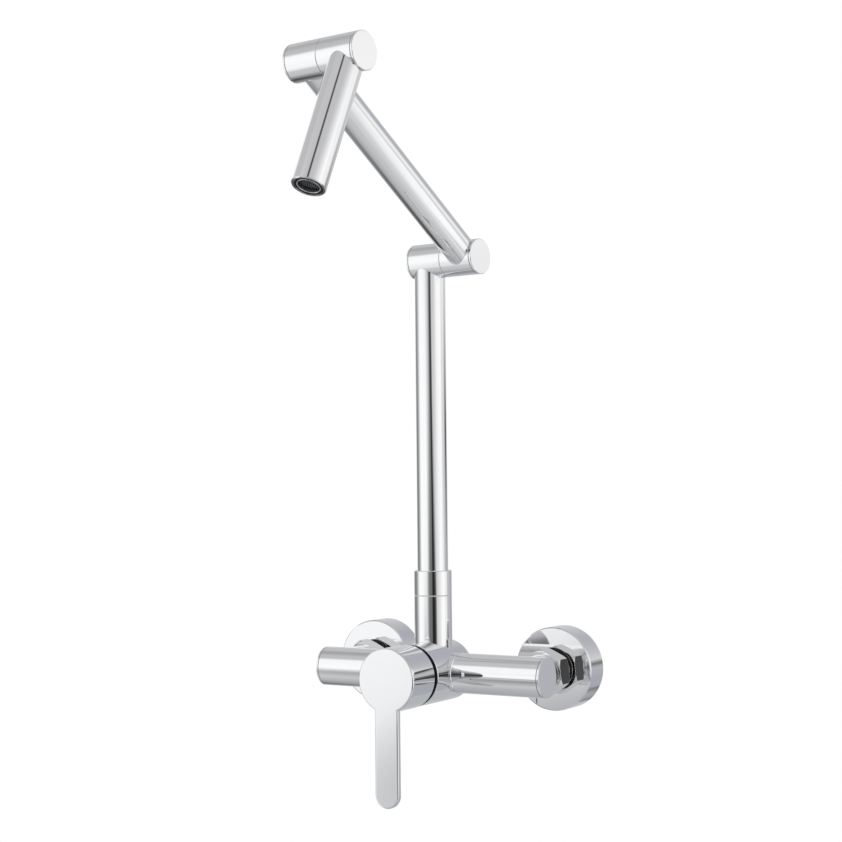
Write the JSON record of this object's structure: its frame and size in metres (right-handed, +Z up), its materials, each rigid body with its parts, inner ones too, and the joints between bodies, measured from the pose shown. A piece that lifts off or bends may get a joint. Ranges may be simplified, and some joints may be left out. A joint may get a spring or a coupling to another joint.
{
  "type": "kitchen mixer tap",
  "caption": "Wall-mounted kitchen mixer tap with a crossbar, a front lever, a tall swivelling riser and a jointed arm that folds and carries a short spout.",
  "frame": {"origin": "on the finished wall surface, midway between the centres of the two water inlets", "axes": "+Z up along the riser, +Y into the wall along the inlets, +X to the right as seen from the sink"},
  "size_m": [0.2092, 0.2974, 0.5007],
  "materials": {
    "chrome": "polished",
    "brass": "machined",
    "steel": "machined",
    "pale_plastic": "moulded",
    "dark_plastic": "moulded",
    "ceramic": "lapped",
    "seal_rubber": "smooth"
  },
  "bodies": {
    "mixer": {"rosette_left": "chrome", "rosette_right": "chrome", "union_left": "brass", "union_right": "brass", "union_nut_left": "chrome", "union_nut_right": "chrome", "inlet_washers": "seal_rubber", "rosette_seals": "seal_rubber", "body": "chrome", "bar_tube_left": "chrome", "bar_tube_right": "chrome", "bar_cap_left": "chrome", "bar_cap_right": "chrome", "cartridge_housing": "pale_plastic", "cartridge_base": "pale_plastic", "base_seals": "seal_rubber", "fixed_disc": "ceramic", "ring_nut": "dark_plastic", "swivel_screw": "steel", "slip_washer": "pale_plastic"},
    "cartridge_rotor": {"rotor": "dark_plastic", "lift_pin": "steel"},
    "disc_slider": {"disc_carrier": "dark_plastic", "moving_disc": "ceramic"},
    "lever_handle": {"handle": "chrome", "handle_insert": "pale_plastic", "handle_screw": "steel", "stem": "brass"},
    "swivel_riser": {"riser": "chrome", "swivel_collar": "chrome", "spigot": "brass", "spigot_seals": "seal_rubber", "lower_elbow_riser_half": "chrome", "lower_cap_left": "chrome", "lower_spindle": "brass", "lower_spindle_nut": "brass", "lower_seals": "seal_rubber", "lower_spring_washer": "steel"},
    "folding_arm": {"lower_friction_washer": "pale_plastic", "lower_elbow_arm_half": "chrome", "lower_cap_right": "chrome", "arm": "chrome", "upper_elbow_arm_half": "chrome", "upper_cap_left": "chrome", "upper_spindle": "brass", "upper_spindle_nut": "brass", "upper_seals": "seal_rubber", "upper_spring_washer": "steel"},
    "spout_tube": {"upper_friction_washer": "pale_plastic", "upper_elbow_spout_half": "chrome", "upper_cap_right": "chrome", "spout": "chrome", "aerator_housing": "dark_plastic", "aerator_insert": "steel", "aerator_washer": "seal_rubber"}
  },
  "joints": [
    {"name": "handle_turn", "type": "hinge", "parent": "mixer", "child": "cartridge_rotor", "pos_m": [0, -0.0935, -0.0012], "axis": [0, 1, 0], "range_deg": [-45, 45]},
    {"name": "handle_lift", "type": "hinge", "parent": "cartridge_rotor", "child": "lever_handle", "pos_m": [0, -0.0935, -0.0012], "axis": [-1, 0, 0], "range_deg": [0, 8]},
    {"name": "disc_slide", "type": "slide", "parent": "cartridge_rotor", "child": "disc_slider", "axis": [0, 0, -1], "range_m": [0, 0.0025]},
    {"name": "riser_swivel", "type": "hinge", "parent": "mixer", "child": "swivel_riser", "pos_m": [0, -0.06, -0.0012], "axis": [0, 0, 1], "range_deg": [-84.2, 45.8]},
    {"name": "lower_elbow", "type": "hinge", "parent": "swivel_riser", "child": "folding_arm", "pos_m": [0, -0.06, 0.2921], "axis": [0.9949, -0.1011, 0], "range_deg": [-57, 53]},
    {"name": "upper_elbow", "type": "hinge", "parent": "folding_arm", "child": "spout_tube", "pos_m": [-0.017, -0.22735, 0.4003], "axis": [0.9949, -0.1011, 0], "range_deg": [-95, 80]}
  ],
  "couplings": [
    {"joint": "disc_slide", "follows": "handle_lift", "m_per_rad": 0.017}
  ]
}
